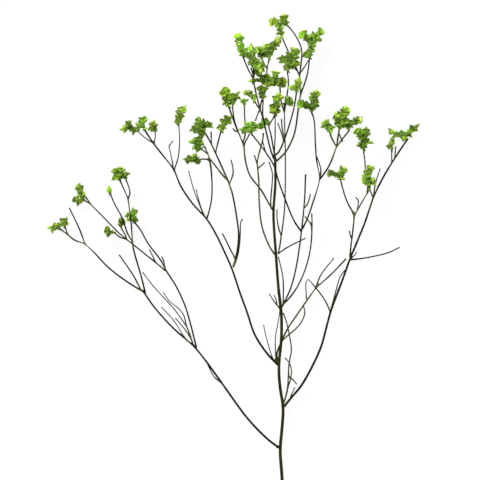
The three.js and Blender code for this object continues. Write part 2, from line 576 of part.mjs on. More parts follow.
// Branches that spread from the top of the main stem, and the crown of flower heads
function addCrown() {
  const left = grown(stem, [[-10, 479], [-14, 490], [-20, 512], [-27, 543], [-32.5, 558],
    [-39, 586], [-42, 601], [-51, 619], [-57, 634]], [56, 66, 74, 80, 83], BRANCH);
  const arch = fork(left, [[-32, 556], [-36, 561], [-39.5, 568]], [74], STALK);
  const inner = fork(left, [[-27, 545], [-27.5, 558], [-27, 568]], [66], STALK);
  const drop = fork(left, [[-32, 556], [-36, 546], [-38.5, 539]], [66], BARE);
  const bare = fork(left, [[-42, 600], [-42.5, 609], [-45, 617]], [74], BARE);
  const high = fork(left, [[-41, 597], [-40.5, 607], [-41.5, 617]], [84], STALK);
  const back = fork(left, [[-32, 556], [-29, 569], [-24.5, 580], [-21.2, 590], [-21.5, 606],
    [-21, 618], [-17.5, 631]], [60, 56, 60, 64], STALK);
  const prong = fork(back, [[-21, 617], [-25, 623], [-28, 629]], [62], STALK);
  addBranch('crown_left_branch', DARK, left, arch, inner, drop, bare, high, back, prong);

  const centre = onward(stem, [[-11.5, 497], [-16, 521], [-19, 531], [-14, 539],
    [-9.5, 547]], [56, 60, 60], BRANCH);
  const plumb = fork(centre, [[-10.5, 490], [-9, 515], [-9, 545]], [58, 60], BARE);
  const dark = fork(centre, [[-10, 486], [-3, 493], [5, 511], [13, 535], [20, 562],
    [23, 582]], [58, 62, 63, 62], BRANCH);
  const stray = fork(dark, [[4, 509], [0, 522], [-5, 535]], [62], BARE);
  const post = fork(dark, [[5, 511], [1.5, 528], [0.5, 541]], [58, 55], STALK);
  addBranch('crown_centre_branch', OLIVE, centre, plumb, dark, stray, post);

  const right = grown(stem, [[-7.5, 477], [5, 490], [12, 501], [20, 520], [25.5, 555],
    [29, 578], [28, 602], [27.5, 609], [24, 614], [20.5, 618]], [51, 45, 38, 34, 34, 37],
    BRANCH);
  const east = fork(right, [[29, 577], [36, 597], [40, 612], [42.5, 632]], [28, 28], STALK);
  const tall = fork(right, [[27.8, 606], [30, 625], [31, 645], [27, 657], [17, 674],
    [11, 681]], [26, 17, 6], STALK);
  const under = fork(right, [[27.5, 606], [22, 620], [14, 636], [7, 652], [2, 664]],
    [24, 14, 5], STALK);
  const brace = fork(right, [[27.5, 609], [34, 618], [40.5, 629]], [31], BARE);
  addBranch('crown_right_branch', OLIVE, right, east, tall, under, brace);
  return { left, arch, inner, high, back, prong, centre, dark, right, east, tall, under };
}

function addCrownHeads(crown, climbing) {
  addHead('crown_head_1',
    spike(5, crown.tall, [5, 687, 4], [3.5, 695, 5], [4, 703, 6]),
    spike(4.4, [5, 686, 4], [-5, 684, 4], [-12, 688, 4], [-18.5, 691, 4]),
    spike(4, crown.under, [0, 674, 4], [-2, 682, 4]),
    spike(3, [-1, 679, 4], [-11, 672, 4]),
    spike(2.8, [6, 687, 5], [14.5, 688, 5]),
    spike(2.4, [0, 673, 5], [-8.5, 668, 4]));
  addHead('crown_head_2',
    spike(5.8, crown.left, [-61, 645, 83], [-62, 656, 84], [-60.5, 670, 85]),
    spike(2.6, [-63, 656, 84], [-69.5, 661, 84]),
    spike(5.2, [-61, 643, 83], [-52, 637, 84], [-45, 630, 85]),
    spike(6, crown.high, [-44, 630, 85], [-44, 643, 85], [-46, 656, 86]),
    spike(3.8, [-43, 633, 85], [-37, 649, 88]),
    spike(3.8, [-44, 630, 85], [-49, 621, 84]),
    spike(6.4, [-43, 634, 85], [-38, 628, 85], [-31, 620, 85], [-25, 610, 84]));
  addHead('crown_head_3',
    spike(6.2, crown.back, [-17, 644, 66], [-13, 652, 67], [-6, 658, 67], [1, 665, 67]),
    spike(3.4, [-17, 642, 66], [-23, 646, 67], [-25.5, 655, 68]),
    spike(4.2, [-17, 643, 66], [-11, 638, 64]),
    spike(3.8, [-18, 643, 66], [-27, 638, 65], [-33, 641, 65], [-38, 651, 64]),
    spike(3, [-13, 651, 67], [-4, 650, 65]),
    spike(3.6, [-14, 648, 66], [-21, 657, 67]),
    spike(3.8, crown.prong, [-31, 635, 63], [-34, 643, 65]));
  addHead('crown_head_4',
    spike(5, [-39, 600, 68], [-29, 598, 66], [-19, 597, 63], [-8, 600, 60], [9, 595, 57]),
    spike(5.6, climbing.left, [-5, 599, 60], [-14, 597, 61], [-22, 598, 63]),
    spike(4.2, [-10, 600, 60], [-8, 608, 62], [-15, 614, 63]),
    spike(4, [-9, 604, 61], [-1, 607, 60]),
    spike(4, [-14, 598, 61], [-11, 589, 60]),
    spike(4.4, [-26, 598, 65], [-30, 605, 68], [-38, 608, 71]),
    spike(4, [-32, 605, 69], [-24, 606, 69]),
    spike(3.4, [-36, 607, 70], [-34, 617, 71]),
    spike(3, [-36, 600, 68], [-44, 598, 70], [-50.5, 598, 71]),
    spike(4, [-28, 602, 67], [-20, 605, 68], [-13, 604, 67]));
  addHead('crown_head_5',
    spike(7.4, climbing.right, [12, 624, 43], [15, 636, 42], [24, 648, 42]),
    spike(4.2, [13, 634, 43], [4, 634, 44], [-7, 631, 44]),
    spike(6, crown.right, [19, 627, 40], [16, 634, 42]),
    spike(4, [11, 624, 43], [5, 614, 44]),
    spike(4.8, [20, 643, 42], [31, 645, 42]),
    spike(4.2, [19, 640, 42], [24, 632, 42]));
  addHead('crown_head_6',
    spike(5.6, crown.east, [44, 643, 28], [47, 654, 28], [52, 666, 28], [58, 673, 28],
      [63, 668, 27]),
    spike(6.2, [46, 652, 28], [40, 663, 29], [33, 670, 30], [27, 672, 30]),
    spike(4.8, [43, 641, 28], [33, 639.5, 27]),
    spike(2.6, [52, 664, 28], [59.5, 658.5, 28]));
  addHead('crown_head_7',
    spike(4.4, crown.dark, [25, 592, 62], [26.5, 604, 63]),
    spike(4, [23.5, 586, 62], [17, 590, 62], [10, 588, 62]));
  addHead('crown_head_8',
    spike(8.4, crown.centre, [-9, 556, 60], [-8, 568, 60]),
    spike(5.6, [-8, 563, 60], [-5, 573, 60], [-5, 581, 61]),
    spike(3.4, [-6, 567, 61], [0, 573, 63]));
  addHead('crown_head_9',
    spike(4.6, climbing.climb, [9, 568, 52], [19, 566, 53]),
    spike(3, [8, 568, 52], [12, 575, 54]));
  addHead('crown_head_10',
    spike(5.2, crown.inner, [-29, 580, 64], [-30, 593, 62]),
    spike(3.6, [-28.5, 574, 65], [-34, 581, 63]),
    spike(2.4, [-27.5, 574, 65], [-21, 575, 66]));
  addHead('crown_head_11',
    spike(4.4, crown.arch, [-44, 577, 73], [-50, 581, 72], [-59, 582, 71]));
}

addLowLeft();
addMiddleLeft();
addCrossingBranch();
addRight();
addCentreRight();
addCentreLeft();
addCrownHeads(addCrown(), addClimbing());

// Puts the origin at the middle of the footprint, on the table
const reach = new THREE.Box3().setFromObject(plant);
const middle = reach.getCenter(new THREE.Vector3());
plant.position.set(-middle.x, -middle.y, -reach.min.z);

export default plant;
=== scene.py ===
"""A dried, dyed statice stem on a white table: bark, scales and papery flowers around its frame."""

import json
import math
import random

import bmesh
import bpy
from mathutils import Matrix, Quaternion, Vector, kdtree, noise
from mathutils.bvhtree import BVHTree

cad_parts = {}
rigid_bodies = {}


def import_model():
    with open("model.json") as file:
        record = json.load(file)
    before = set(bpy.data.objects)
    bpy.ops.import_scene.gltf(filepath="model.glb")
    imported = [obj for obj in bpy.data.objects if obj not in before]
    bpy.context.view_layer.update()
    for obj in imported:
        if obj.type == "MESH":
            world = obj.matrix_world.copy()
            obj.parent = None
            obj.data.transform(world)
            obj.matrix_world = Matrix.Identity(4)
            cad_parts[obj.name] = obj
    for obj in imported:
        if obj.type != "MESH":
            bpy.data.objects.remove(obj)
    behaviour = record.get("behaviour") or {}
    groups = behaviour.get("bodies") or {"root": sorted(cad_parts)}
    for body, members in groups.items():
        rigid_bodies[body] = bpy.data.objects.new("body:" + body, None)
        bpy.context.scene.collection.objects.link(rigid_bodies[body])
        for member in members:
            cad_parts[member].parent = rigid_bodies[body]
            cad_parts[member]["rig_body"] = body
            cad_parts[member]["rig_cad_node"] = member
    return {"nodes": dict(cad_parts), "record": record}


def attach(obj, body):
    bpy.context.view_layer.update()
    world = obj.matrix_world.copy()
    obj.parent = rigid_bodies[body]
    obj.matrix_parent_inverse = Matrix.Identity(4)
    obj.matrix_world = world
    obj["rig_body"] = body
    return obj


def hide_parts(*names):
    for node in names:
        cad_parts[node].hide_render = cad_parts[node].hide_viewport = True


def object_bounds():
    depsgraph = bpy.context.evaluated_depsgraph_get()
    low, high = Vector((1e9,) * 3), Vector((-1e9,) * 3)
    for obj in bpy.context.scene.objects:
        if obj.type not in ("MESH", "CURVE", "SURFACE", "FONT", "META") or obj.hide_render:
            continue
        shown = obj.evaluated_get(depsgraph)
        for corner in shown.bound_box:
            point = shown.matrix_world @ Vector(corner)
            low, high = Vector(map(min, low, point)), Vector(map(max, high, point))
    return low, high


bl_info = {
    "name": "Dyed statice stem",
    "version": (1, 0, 0),
    "blender": (4, 5, 0),
    "location": "3D View > Sidebar > Statice",
    "description": "Builds the bark, scales and papery flowers of a dried statice stem",
    "category": "Add Mesh",
}

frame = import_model()
frame_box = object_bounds()

MM = 0.001
SEED = 7
WELD = 0.001 * MM  # corners of CAD triangles that lie nearer than this are one corner
ROUND = 2.6 * MM  # edges round a strand are shorter than this, and edges along it longer
AT_CARRIER = 0.5 * MM  # a strand that ends this near another one is carried by it
AT_FLOWER = 0.6 * MM  # a strand that ends this near a flower head carries the head
OFF_SKIN = 0.05 * MM  # rays start this far off the surface that they leave
ON_TABLE = 0.02 * MM  # height of the lowest corners over the table
SLOTS = {part["node"]: part["material_slot"] for part in frame["record"]["subparts"]}
HEADS = sorted(node for node, slot in SLOTS.items() if slot == "green_calyx")
STEMS = sorted(node for node, slot in SLOTS.items() if slot != "green_calyx")


def paint(code):
    """A linear colour from an sRGB hex value."""
    parts = [int(code[i : i + 2], 16) / 255 for i in (0, 2, 4)]
    return [c / 12.92 if c <= 0.04045 else ((c + 0.055) / 1.055) ** 2.4 for c in parts]


class StaticeStemSettings(bpy.types.PropertyGroup):
    """Sizes and colours of the stems."""

    join: bpy.props.FloatProperty(
        name="Joint depth",
        description="How far a branch reaches into what carries it",
        default=0.8 * MM,
        unit="LENGTH",
    )
    tip: bpy.props.FloatProperty(
        name="Withered tip",
        description="Length of the point that a bare twig dried to",
        default=0.9 * MM,
        unit="LENGTH",
    )
    full: bpy.props.FloatProperty(
        name="Bark on a bough",
        description="How far the bark of thick strands stands out, as a share of their radius",
        default=0.24,
        subtype="FACTOR",
    )
    full_thin: bpy.props.FloatProperty(
        name="Bark on a branch",
        description="The same for branches and twigs",
        default=0.44,
        subtype="FACTOR",
    )
    ridge: bpy.props.FloatProperty(
        name="Ridge height",
        description="How far a ridge stands out, as a share of the stem's radius",
        default=0.14,
        subtype="FACTOR",
    )
    wrinkle: bpy.props.FloatProperty(
        name="Wrinkle height",
        description="How far the dried bark is drawn in or swollen",
        default=0.24 * MM,
        unit="LENGTH",
    )
    olive: bpy.props.FloatVectorProperty(
        name="Olive bark",
        description="Colour of the dyed main stem",
        default=paint("182305"),
        subtype="COLOR",
    )
    dark: bpy.props.FloatVectorProperty(
        name="Dark bark",
        description="Colour of the dried boughs",
        default=paint("14130a"),
        subtype="COLOR",
    )
    tan: bpy.props.FloatVectorProperty(
        name="Tan bark",
        description="Colour of the thin pale branches",
        default=paint("33311d"),
        subtype="COLOR",
    )
    pale: bpy.props.FloatVectorProperty(
        name="Thin bark",
        description="Colour that every bark turns to where a strand is thin",
        default=paint("55522c"),
        subtype="COLOR",
    )


class StaticeScaleSettings(bpy.types.PropertyGroup):
    """Size and colour of the dried scales, and colour of the pith."""

    scale: bpy.props.FloatProperty(
        name="Scale length",
        description="Length of a dried scale under a fork",
        default=2.6 * MM,
        unit="LENGTH",
    )
    husk: bpy.props.FloatVectorProperty(
        name="Scale",
        description="Colour of the dried scales",
        default=paint("4d3c1d"),
        subtype="COLOR",
    )
    pith: bpy.props.FloatVectorProperty(
        name="Pith",
        description="Colour of the pith in the cut end",
        default=paint("d9cfae"),
        subtype="COLOR",
    )


class StaticeFlowerSettings(bpy.types.PropertyGroup):
    """Sizes and colours of the flowers."""

    length: bpy.props.FloatProperty(
        name="Calyx length",
        description="From the foot of the tube to the rim",
        default=13 * MM,
        unit="LENGTH",
    )
    rim: bpy.props.FloatProperty(
        name="Rim radius",
        description="Radius of an open calyx at its rim",
        default=7.0 * MM,
        unit="LENGTH",
    )
    spacing: bpy.props.FloatProperty(
        name="Spacing",
        description="Least distance between the mouths of two calyces",
        default=5.7 * MM,
        unit="LENGTH",
    )
    bract: bpy.props.FloatProperty(
        name="Bract length",
        description="Length of the bracts that hold a calyx",
        default=9.0 * MM,
        unit="LENGTH",
    )
    bud: bpy.props.FloatProperty(
        name="Bud size",
        description="Size of the bud at the tip of a spike, as a share of a full calyx",
        default=0.9,
        subtype="FACTOR",
    )
    wall: bpy.props.FloatProperty(
        name="Wall",
        description="Thickness of the papery wall",
        default=0.16 * MM,
        unit="LENGTH",
    )
    # the tube's own dark green, made darker still as painted shade deep in the heads
    foot: bpy.props.FloatVectorProperty(
        name="Tube",
        description="Colour of the calyx tube",
        default=paint("182e02"),
        subtype="COLOR",
    )
    limb: bpy.props.FloatVectorProperty(
        name="Limb",
        description="Colour of the open papery part",
        default=paint("7dac24"),
        subtype="COLOR",
    )
    # the dried rim's own paler colour, brightened as a painted highlight
    edge: bpy.props.FloatVectorProperty(
        name="Rim",
        description="Colour of the dried rim",
        default=paint("ccdf86"),
        subtype="COLOR",
    )


class StaticeStageSettings(bpy.types.PropertyGroup):
    """Camera and table."""

    field: bpy.props.FloatProperty(
        name="Field of view",
        description="Width and height that the camera sees at the table",
        default=720 * MM,
        unit="LENGTH",
    )
    height: bpy.props.FloatProperty(
        name="Camera height",
        description="Distance from the camera to the table",
        default=15,
        unit="LENGTH",
    )
    cut_end: bpy.props.FloatProperty(
        name="Stem out of view",
        description="Length of stem that lies past the lower edge of the view",
        default=25.8 * MM,
        unit="LENGTH",
    )
    aside: bpy.props.FloatProperty(
        name="Camera aside",
        description="How far the camera stands to the right of the plant's middle",
        default=10.5 * MM,
        unit="LENGTH",
    )


def only(*pieces):
    """Selects just these pieces, the last one active. Without a piece, nothing stays selected."""
    bpy.ops.object.select_all(action="DESELECT")
    for piece in pieces:
        piece.select_set(True)
        bpy.context.view_layer.objects.active = piece


def fill(node, *inputs):
    """Fills sockets of a shader node, each with a value or from another node's socket."""
    for name, value in inputs:
        if isinstance(value, bpy.types.NodeSocket):
            node.id_data.links.new(value, node.inputs[name])
        else:
            node.inputs[name].default_value = value


def add(material, kind, *inputs, stops=(), **settings):
    """Adds a shader node with its inputs and settings, and with its stops where it is a colour
    ramp: their places, in rising order, and colours."""
    node = material.node_tree.nodes.new(kind)
    for name, value in settings.items():
        setattr(node, name, value)
    for number, (place, colour) in enumerate(stops):
        elements = node.color_ramp.elements
        stop = elements[number] if number < 2 else elements.new(place)
        stop.position = place
        stop.color = list(colour) + [1]
    fill(node, *inputs)
    return node


def blank(name):
    """A new material and its surface shader."""
    material = bpy.data.materials.new(name)
    material.use_nodes = True
    return material, material.node_tree.nodes["Principled BSDF"]


def dim(colour, share):
    """A colour with all its channels scaled."""
    return [c * share for c in colour]


def merged_copy(node, name):
    """A copy of a CAD node whose triangles share their corners, ready to be shaped."""
    only(frame["nodes"][node])
    bpy.ops.object.duplicate()
    piece = bpy.context.active_object
    bpy.ops.object.parent_clear(type="CLEAR_KEEP_TRANSFORM")
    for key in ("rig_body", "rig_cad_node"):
        del piece[key]
    piece.name = piece.data.name = name
    piece.data.materials.clear()
    bpy.ops.object.mode_set(mode="EDIT")
    bpy.ops.mesh.select_all(action="SELECT")
    bpy.ops.mesh.remove_doubles(threshold=WELD)
    bpy.ops.mesh.mark_sharp(clear=True)
    bpy.ops.mesh.customdata_custom_splitnormals_clear()
    bpy.ops.mesh.select_all(action="DESELECT")
    bpy.ops.object.mode_set(mode="OBJECT")
    return piece


def opened(data):
    """An editable copy of a mesh."""
    mesh = bmesh.new()
    mesh.from_mesh(data)
    return mesh


def merged_mesh(node):
    """An editable copy of a CAD node's surface, with triangles that share their corners."""
    mesh = opened(frame["nodes"][node].data)
    bmesh.ops.remove_doubles(mesh, verts=mesh.verts, dist=WELD)
    mesh.normal_update()
    return mesh


def face_outward(model):
    """Turns all faces of a model outward and shades it smooth."""
    only(model)
    bpy.ops.object.mode_set(mode="EDIT")
    bpy.ops.mesh.select_all(action="SELECT")
    bpy.ops.mesh.normals_make_consistent(inside=False)
    bpy.ops.object.mode_set(mode="OBJECT")
    bpy.ops.object.shade_smooth()


def skins(nodes):
    """One search tree over the surfaces of several CAD nodes."""
    corners, faces = [], []
    for node in nodes:
        mesh = frame["nodes"][node].data
        faces += [[len(corners) + i for i in face.vertices] for face in mesh.polygons]
        corners += [corner.co.copy() for corner in mesh.vertices]
    return BVHTree.FromPolygons(corners, faces)


class End:
    """The flat face that closes one end of a strand."""

    def __init__(self, faces):
        self.faces = faces
        self.corners = sorted({v for face in faces for v in face.verts}, key=lambda v: v.index)
        self.spots = [v.co.copy() for v in self.corners]
        self.centre = sum((v.co for v in self.corners), Vector()) / len(self.corners)
        self.way = sum((face.normal for face in faces), Vector()).normalized()
        self.radius = max((v.co - self.centre).length for v in self.corners)


FLAT = math.radians(1.5)  # faces that turn less than this lie in one plane
SQUARE = (math.radians(62), math.radians(118))  # turn from the end of a strand to its side


def flat_ends(mesh):
    """The ends of all strands in a mesh: small flat faces whose edges all turn near a right
    angle."""
    ends, seen = [], set()
    for first in mesh.faces:
        if first in seen:
            continue
        group, rim, queue = [], [], [first]
        seen.add(first)
        while queue:
            face = queue.pop()
            group.append(face)
            for edge in face.edges:
                turn = edge.calc_face_angle_signed(0)
                other = next((f for f in edge.link_faces if f is not face), None)
                if other is not None and abs(turn) < FLAT:
                    if other not in seen:
                        seen.add(other)
                        queue.append(other)
                else:
                    rim.append((edge.calc_length(), turn))
        short = all(length < ROUND for length, _ in rim)
        square = all(SQUARE[0] < turn < SQUARE[1] for _, turn in rim)
        if rim and short and square:
            ends.append(End(group))
    return ends


def push_out(mesh, end, reach, scale=1.0):
    """Lengthens a strand at one end, to a new end that is scaled about its middle."""
    grown = bmesh.ops.extrude_face_region(mesh, geom=end.faces)["geom"]
    corners = [part for part in grown if isinstance(part, bmesh.types.BMVert)]
    bmesh.ops.delete(mesh, geom=[f for f in end.faces if f.is_valid], context="FACES_ONLY")
    for corner in corners:
        corner.co = end.centre + (corner.co - end.centre) * scale + end.way * reach
    faces = [part for part in grown if isinstance(part, bmesh.types.BMFace)]
    for face in faces:
        face.normal_update()
    return End(faces)


def sink(mesh, end, depths, join):
    """Lengthens a strand at one end until each corner lies just inside what carries it."""
    new = push_out(mesh, end, 0)
    known = [depth for depth in depths if depth is not None]
    for corner in new.corners:
        match = min(range(len(end.spots)), key=lambda i: (end.spots[i] - corner.co).length)
        depth = depths[match] if depths[match] is not None else sum(known) / len(known)
        corner.co += end.way * (depth + join)


SINK_MOST = 16 * MM  # farthest that an end looks ahead for what carries it
IN_FLOWER = 2 * MM  # how far a stalk reaches into its flower head
TWIG = 1.2 * MM  # a free end thinner than this is withered, and a thicker one is cut
WITHERED = 0.45  # width of a withered tip, as a share of the strand's
CUT_EDGE = (0.2 * MM, 0.85)  # bark past a cut, and width of the cut's flat middle as a share


def shape_ends(mesh, carriers, flowers, settings):
    """Lets each strand run into what carries it, draws each bare tip to a withered point and keeps
    the cut end of the main stem flat."""
    for end in flat_ends(mesh):
        hits = [carriers.ray_cast(v.co + end.way * OFF_SKIN, end.way, SINK_MOST)
                for v in end.corners]
        depths = [hit[3] for hit in hits]
        near = carriers.find_nearest(end.centre, end.radius + AT_CARRIER)[0] is not None
        bloom = flowers.find_nearest(end.centre, AT_FLOWER)[0] is not None
        if near and any(depth is not None for depth in depths):
            sink(mesh, end, depths, settings.join)
        elif bloom:
            push_out(mesh, end, IN_FLOWER, scale=0.9)
        elif near:
            push_out(mesh, end, settings.join)
        elif end.radius < TWIG:
            push_out(mesh, end, settings.tip, WITHERED)
        else:
            edge = push_out(mesh, end, CUT_EDGE[0])
            push_out(mesh, edge, 0, CUT_EDGE[1])


STRAIGHT = 0.85  # cosine of the sharpest turn between an edge along a strand and the next one
BENT = 9 * MM  # edges longer than this follow a curve
SAME_PLACE = 0.02 * MM  # a new corner this near a computed place is the one meant for it


def line_through(edge, start):
    """Where a lengthwise edge goes on to past one of its ends: the next corner, or else the edge's
    mirror point."""
    far = edge.other_vert(start)
    way = (start.co - far.co).normalized()
    best, straight = None, STRAIGHT
    for other in start.link_edges:
        ahead = other.other_vert(start)
        run = ahead.co - start.co
        turn = run.normalized().dot(way)
        if other is not edge and run.length >= ROUND and turn > straight:
            best, straight = ahead, turn
    return best.co if best else start.co * 2 - far.co


def bend_smoothly(mesh, cuts):
    """Cuts long edges into short ones that follow a smooth curve through the given rings."""
    long = [edge for edge in mesh.edges if edge.calc_length() > BENT]
    flat, curved = [], []
    for edge in long:
        a, b = edge.verts
        span = (b.co - a.co).length
        before, after = line_through(edge, a), line_through(edge, b)
        # a Hermite curve, which leaves and meets each ring half-way between its two edges
        out = ((a.co - before).normalized() + (b.co - a.co).normalized()).normalized() * span
        into = ((b.co - a.co).normalized() + (after - b.co).normalized()).normalized() * span
        for i in range(1, cuts + 1):
            t = i / (cuts + 1)
            flat.append(a.co.lerp(b.co, t))
            curved.append(a.co * (2 * t**3 - 3 * t**2 + 1) + out * (t**3 - 2 * t**2 + t)
                          + b.co * (3 * t**2 - 2 * t**3) + into * (t**3 - t**2))
    tree = kdtree.KDTree(len(flat))
    for i, point in enumerate(flat):
        tree.insert(point, i)
    tree.balance()
    cut = bmesh.ops.subdivide_edges(mesh, edges=long, cuts=cuts, use_grid_fill=True)
    for corner in cut["geom_inner"]:
        if isinstance(corner, bmesh.types.BMVert):
            _, i, gap = tree.find(corner.co)
            if gap < SAME_PLACE:
                corner.co = curved[i]


def ring_size(corner):
    """Mean length of the short edges at a corner, which grows with the strand's radius."""
    short = [edge.calc_length() for edge in corner.link_edges if edge.calc_length() < ROUND]
    return sum(short) / len(short) if short else 0


def streaks(mesh, layer, dice):
    """Gives each line of corners along a strand its own random value."""
    seen = set()
    for first in mesh.verts:
        if first in seen:
            continue
        seen.add(first)
        queue = [first]
        value = dice.random()
        while queue:
            corner = queue.pop()
            corner[layer] = value
            for edge in corner.link_edges:
                other = edge.other_vert(corner)
                if other not in seen and edge.calc_length() > ROUND:
                    seen.add(other)
                    queue.append(other)


BOUGH = 1.3 * MM  # a node with an end wider than this is a bough or the main stem
PALE_FROM = 0.95 * MM  # bark starts to pale where the edges round a strand are this short
PALE_OVER = 0.35 * MM  # and is palest where they are shorter by this
PALEST = 0.9


def shape_stem(piece, carriers, flowers, settings, dice):
    """Rounds a faceted stem, bends it smoothly, joins its ends on and gives it ridges."""
    mesh = opened(piece.data)
    thick = max(end.radius for end in flat_ends(mesh)) > BOUGH
    full = settings.full if thick else settings.full_thin
    shape_ends(mesh, carriers, flowers, settings)
    bmesh.ops.recalc_face_normals(mesh, faces=mesh.faces)
    bmesh.ops.join_triangles(
        mesh, faces=mesh.faces, angle_face_threshold=math.radians(25),
        angle_shape_threshold=math.pi)
    mesh.verts.index_update()
    mesh.verts.layers.float.new("streak")
    mesh.verts.layers.float.new("thin")
    # a new layer moves the ones before it, so both are looked up once both are made
    streak, thin = (mesh.verts.layers.float[name] for name in ("streak", "thin"))
    streaks(mesh, streak, dice)
    for corner in mesh.verts:
        corner[thin] = min(PALEST, max(0, PALE_FROM - ring_size(corner)) / PALE_OVER)
    mesh.normal_update()
    moves = [(v, v.normal * ring_size(v) * (full + settings.ridge * (v[streak] - 0.5) * 2))
             for v in mesh.verts]
    for corner, move in moves:
        corner.co += move
    bend_smoothly(mesh, cuts=3)
    mesh.to_mesh(piece.data)
    mesh.free()
    piece.data.update()


def round_and_crumple(piece, name, levels, size, height):
    """Rounds a piece by subdividing it, then draws its skin in and out in folds of a given size."""
    only(piece)
    rounding = piece.modifiers.new("rounding", "SUBSURF")
    rounding.levels = rounding.render_levels = levels
    bpy.ops.object.modifier_apply(modifier=rounding.name)
    folds = bpy.data.textures.new(name, "CLOUDS")
    folds.noise_scale = size
    crumple = piece.modifiers.new(name, "DISPLACE")
    crumple.texture = folds
    crumple.texture_coords = "LOCAL"
    crumple.strength = height
    bpy.ops.object.modifier_apply(modifier=crumple.name)
    bpy.ops.object.shade_smooth()


def keep_off_table(piece):
    """Presses what would reach below the table flat onto it."""
    for corner in piece.data.vertices:
        corner.co.z = max(corner.co.z, ON_TABLE)


def bark_tone(material, blend, colour, light):
    """Colours of one bark from its dark furrows to its light ridges."""
    tone = add(
        material, "ShaderNodeValToRGB", ("Fac", blend.outputs[0]),
        stops=[(0.1, dim(colour, 0.5)), (0.3, colour), (0.7, dim(colour, light))])
    return tone.outputs["Color"]


def bark_material(name, colour, thin_colour, rough):
    """Dried herbaceous stem: dyed bark that dulled, streaked along its ridges, mottled, and paler
    where a strand is thin."""
    material, shader = blank(name)
    streak = add(material, "ShaderNodeAttribute", attribute_name="streak")
    thin = add(material, "ShaderNodeAttribute", attribute_name="thin")
    place = add(material, "ShaderNodeTexCoord")
    mottle = add(
        material, "ShaderNodeTexNoise",
        ("Vector", place.outputs["Object"]), ("Scale", 1 / (9 * MM)), ("Detail", 4))
    blend = add(
        material, "ShaderNodeMath", (0, streak.outputs["Fac"]), (1, mottle.outputs["Fac"]),
        operation="MULTIPLY")
    tone = add(
        material, "ShaderNodeMixRGB", ("Fac", thin.outputs["Fac"]),
        ("Color1", bark_tone(material, blend, colour, 3.6)),
        ("Color2", bark_tone(material, blend, thin_colour, 1.8)))
    grain = add(
        material, "ShaderNodeTexNoise",
        ("Vector", place.outputs["Object"]), ("Scale", 1 / (0.9 * MM)), ("Detail", 3))
    relief = add(
        material, "ShaderNodeBump",
        ("Height", grain.outputs["Fac"]), ("Strength", 0.8), ("Distance", 0.3 * MM))
    fill(
        shader, ("Base Color", tone.outputs["Color"]), ("Normal", relief.outputs["Normal"]),
        ("Roughness", rough), ("Specular IOR Level", 0.06))
    return material


WRAP = math.radians(190)  # how far a leaf wraps round its axis where it is widest


def model_leaf(name, length, near, far, wall):
    """A small dried leaf along +Z: a pointed oval that wraps partly round its axis, on the +Y side.
    near and far are its distances from the axis at its foot and its tip."""
    only()
    bpy.ops.mesh.primitive_grid_add(x_subdivisions=2, y_subdivisions=3, size=1)
    leaf = bpy.context.active_object
    leaf.name = leaf.data.name = name
    mesh = opened(leaf.data)
    skin_layer = mesh.loops.layers.uv.verify()
    for face in mesh.faces:
        for loop in face.loops:
            across, along = loop.vert.co.x + 0.5, loop.vert.co.y + 0.5
            # keeps off both ends of the colour ramps
            loop[skin_layer].uv = (across, 0.2 + 0.6 * along)
    for corner in mesh.verts:
        along = corner.co.y + 0.5
        # a sine that starts late and stops early gives a broad foot and a pointed tip
        turn = corner.co.x * WRAP * math.sin(math.pi * (0.15 + 0.83 * along))
        away = near + (far - near) * along**1.5
        corner.co = (away * math.sin(turn), away * math.cos(turn), along * length)
    mesh.to_mesh(leaf.data)
    mesh.free()
    thicken = leaf.modifiers.new("thickness", "SOLIDIFY")
    thicken.thickness = wall
    bpy.ops.object.modifier_apply(modifier=thicken.name)
    face_outward(leaf)
    return leaf


def mesh_copy(source, place, name):
    """A copy of an object with a mesh of its own, moved to its place in that mesh."""
    copy = bpy.data.objects.new(name, source.data.copy())
    bpy.context.collection.objects.link(copy)
    copy.data.transform(place)
    return copy


def joined(copies, name):
    """Joins copies of a model to one piece that stays off the table."""
    if not copies:
        raise RuntimeError("nothing to make " + name + " of")
    only(*copies)
    bpy.ops.object.join()
    piece = bpy.context.active_object
    piece.name = piece.data.name = name
    keep_off_table(piece)
    return piece


def settle(piece, material, slot, *nodes):
    """Gives a finished piece its material, ties it to the frame and lets it stand for CAD nodes."""
    piece.data.materials.append(material)
    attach(piece, "root")
    if nodes:
        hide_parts(*nodes)


class STATICE_OT_stems(bpy.types.Operator):
    """Makes the bark of the main stem, the boughs, the branches and the bare twigs."""

    bl_idname = "statice.stems"
    bl_label = "Stems"

    def execute(self, context):
        settings = context.scene.statice_stems
        bark = {
            "olive_stem": bark_material("dyed olive stem", settings.olive, settings.pale, 0.62),
            "dark_stem": bark_material("dried dark bough", settings.dark, settings.pale, 0.58),
            "tan_stem": bark_material("dried tan twig", settings.tan, settings.pale, 0.7),
        }
        flowers = skins(HEADS)
        pieces = []
        for number, node in enumerate(STEMS):
            carriers = skins([other for other in STEMS if other != node])
            piece = merged_copy(node, node + "_bark")
            shape_stem(piece, carriers, flowers, settings, random.Random(SEED + number))
            round_and_crumple(piece, "dried bark", 1, size=5 * MM, height=settings.wrinkle)
            keep_off_table(piece)
            pieces.append((piece, node))
        for piece, node in pieces:
            settle(piece, bark[SLOTS[node]], SLOTS[node], node)
        return {"FINISHED"}


def pith_material(settings):
    """Dry stem pith: pale, spongy and matt."""
    material, shader = blank("dry stem pith")
    place = add(material, "ShaderNodeTexCoord")
    cells = add(
        material, "ShaderNodeTexVoronoi",
        ("Vector", place.outputs["Object"]), ("Scale", 1 / (0.5 * MM)))
    tone = add(
        material, "ShaderNodeValToRGB", ("Fac", cells.outputs["Distance"]),
        stops=[(0, settings.pith), (1, dim(settings.pith, 0.5))])
    fill(shader, ("Base Color", tone.outputs["Color"]), ("Roughness", 0.95))
    return material


